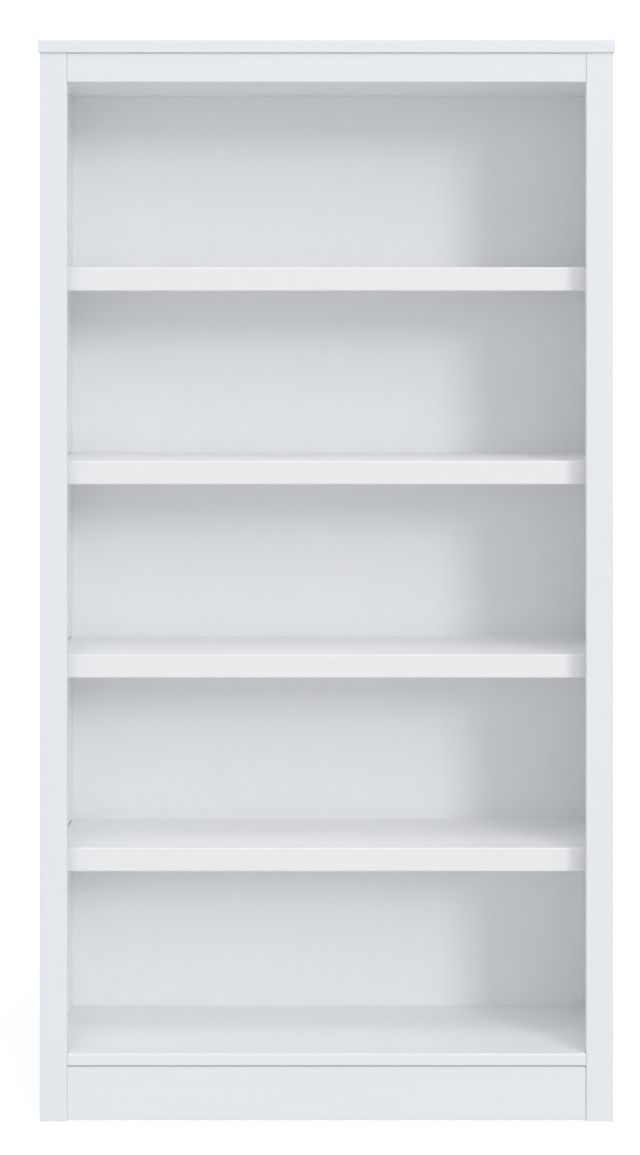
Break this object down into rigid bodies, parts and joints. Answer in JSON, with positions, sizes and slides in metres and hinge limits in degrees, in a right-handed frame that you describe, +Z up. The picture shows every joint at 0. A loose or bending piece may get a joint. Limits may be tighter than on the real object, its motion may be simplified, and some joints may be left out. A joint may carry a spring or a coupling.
{
  "type": "bookcase",
  "caption": "Tall white face-frame bookcase with an overhanging top, plinth, let-in back and adjustable shelves that lift off plug-in supports.",
  "frame": {"origin": "on the floor, at the middle of the footprint", "axes": "+Z up the height, +Y from the open front to the back panel, +X to the right seen from the front"},
  "size_m": [0.96, 0.3114, 1.8],
  "materials": {
    "case_paint": "satin white paint on board",
    "shelf_paint": "satin white paint on board",
    "back_paint": "matt white paint on thin board",
    "beech_dowels": "raw fluted beech",
    "zinc_fittings": "dull zinc plate",
    "nickel_supports": "satin nickel plate"
  },
  "bodies": {
    "case": {"top_panel": "case_paint", "sub_top": "case_paint", "side_panel_left": "case_paint", "side_panel_right": "case_paint", "stile_left": "case_paint", "stile_right": "case_paint", "top_rail": "case_paint", "bottom_panel": "case_paint", "plinth": "case_paint", "rear_plinth": "case_paint", "back_panel": "back_paint", "cam_bolt_sub_top_left_front": "zinc_fittings", "cam_bolt_sub_top_left_rear": "zinc_fittings", "cam_bolt_sub_top_right_front": "zinc_fittings", "cam_bolt_sub_top_right_rear": "zinc_fittings", "cam_bolt_bottom_left_front": "zinc_fittings", "cam_bolt_bottom_left_rear": "zinc_fittings", "cam_bolt_bottom_right_front": "zinc_fittings", "cam_bolt_bottom_right_rear": "zinc_fittings", "cam_lock_sub_top_left_front": "zinc_fittings", "cam_lock_sub_top_left_rear": "zinc_fittings", "cam_lock_sub_top_right_front": "zinc_fittings", "cam_lock_sub_top_right_rear": "zinc_fittings", "cam_lock_bottom_left_front": "zinc_fittings", "cam_lock_bottom_left_rear": "zinc_fittings", "cam_lock_bottom_right_front": "zinc_fittings", "cam_lock_bottom_right_rear": "zinc_fittings", "top_dowel_left_front": "beech_dowels", "top_dowel_left_rear": "beech_dowels", "top_dowel_right_front": "beech_dowels", "top_dowel_right_rear": "beech_dowels", "rail_dowel_left": "beech_dowels", "rail_dowel_right": "beech_dowels", "plinth_dowel_left": "beech_dowels", "plinth_dowel_right": "beech_dowels"},
    "shelf_1": {"shelf_1_board": "shelf_paint", "shelf_1_lipping": "shelf_paint"},
    "shelf_2": {"shelf_2_board": "shelf_paint", "shelf_2_lipping": "shelf_paint"},
    "shelf_3": {"shelf_3_board": "shelf_paint", "shelf_3_lipping": "shelf_paint"},
    "shelf_4": {"shelf_4_board": "shelf_paint", "shelf_4_lipping": "shelf_paint"},
    "support_1_left_front": {"support_1_left_front": "nickel_supports"},
    "support_1_left_rear": {"support_1_left_rear": "nickel_supports"},
    "support_1_right_front": {"support_1_right_front": "nickel_supports"},
    "support_1_right_rear": {"support_1_right_rear": "nickel_supports"},
    "support_2_left_front": {"support_2_left_front": "nickel_supports"},
    "support_2_left_rear": {"support_2_left_rear": "nickel_supports"},
    "support_2_right_front": {"support_2_right_front": "nickel_supports"},
    "support_2_right_rear": {"support_2_right_rear": "nickel_supports"},
    "support_3_left_front": {"support_3_left_front": "nickel_supports"},
    "support_3_left_rear": {"support_3_left_rear": "nickel_supports"},
    "support_3_right_front": {"support_3_right_front": "nickel_supports"},
    "support_3_right_rear": {"support_3_right_rear": "nickel_supports"},
    "support_4_left_front": {"support_4_left_front": "nickel_supports"},
    "support_4_left_rear": {"support_4_left_rear": "nickel_supports"},
    "support_4_right_front": {"support_4_right_front": "nickel_supports"},
    "support_4_right_rear": {"support_4_right_rear": "nickel_supports"}
  },
  "joints": [
    {"name": "shelf_1_lift", "type": "slide", "parent": "case", "child": "shelf_1", "axis": [0, 0, 1], "range_m": [0, 0.28]},
    {"name": "shelf_2_lift", "type": "slide", "parent": "case", "child": "shelf_2", "axis": [0, 0, 1], "range_m": [0, 0.28]},
    {"name": "shelf_3_lift", "type": "slide", "parent": "case", "child": "shelf_3", "axis": [0, 0, 1], "range_m": [0, 0.28]},
    {"name": "shelf_4_lift", "type": "slide", "parent": "case", "child": "shelf_4", "axis": [0, 0, 1], "range_m": [0, 0.3]},
    {"name": "support_1_left_front_pull", "type": "slide", "parent": "case", "child": "support_1_left_front", "axis": [1, 0, 0], "range_m": [0, 0.012]},
    {"name": "support_1_left_rear_pull", "type": "slide", "parent": "case", "child": "support_1_left_rear", "axis": [1, 0, 0], "range_m": [0, 0.012]},
    {"name": "support_1_right_front_pull", "type": "slide", "parent": "case", "child": "support_1_right_front", "axis": [-1, 0, 0], "range_m": [0, 0.012]},
    {"name": "support_1_right_rear_pull", "type": "slide", "parent": "case", "child": "support_1_right_rear", "axis": [-1, 0, 0], "range_m": [0, 0.012]},
    {"name": "support_2_left_front_pull", "type": "slide", "parent": "case", "child": "support_2_left_front", "axis": [1, 0, 0], "range_m": [0, 0.012]},
    {"name": "support_2_left_rear_pull", "type": "slide", "parent": "case", "child": "support_2_left_rear", "axis": [1, 0, 0], "range_m": [0, 0.012]},
    {"name": "support_2_right_front_pull", "type": "slide", "parent": "case", "child": "support_2_right_front", "axis": [-1, 0, 0], "range_m": [0, 0.012]},
    {"name": "support_2_right_rear_pull", "type": "slide", "parent": "case", "child": "support_2_right_rear", "axis": [-1, 0, 0], "range_m": [0, 0.012]},
    {"name": "support_3_left_front_pull", "type": "slide", "parent": "case", "child": "support_3_left_front", "axis": [1, 0, 0], "range_m": [0, 0.012]},
    {"name": "support_3_left_rear_pull", "type": "slide", "parent": "case", "child": "support_3_left_rear", "axis": [1, 0, 0], "range_m": [0, 0.012]},
    {"name": "support_3_right_front_pull", "type": "slide", "parent": "case", "child": "support_3_right_front", "axis": [-1, 0, 0], "range_m": [0, 0.012]},
    {"name": "support_3_right_rear_pull", "type": "slide", "parent": "case", "child": "support_3_right_rear", "axis": [-1, 0, 0], "range_m": [0, 0.012]},
    {"name": "support_4_left_front_pull", "type": "slide", "parent": "case", "child": "support_4_left_front", "axis": [1, 0, 0], "range_m": [0, 0.012]},
    {"name": "support_4_left_rear_pull", "type": "slide", "parent": "case", "child": "support_4_left_rear", "axis": [1, 0, 0], "range_m": [0, 0.012]},
    {"name": "support_4_right_front_pull", "type": "slide", "parent": "case", "child": "support_4_right_front", "axis": [-1, 0, 0], "range_m": [0, 0.012]},
    {"name": "support_4_right_rear_pull", "type": "slide", "parent": "case", "child": "support_4_right_rear", "axis": [-1, 0, 0], "range_m": [0, 0.012]}
  ]
}
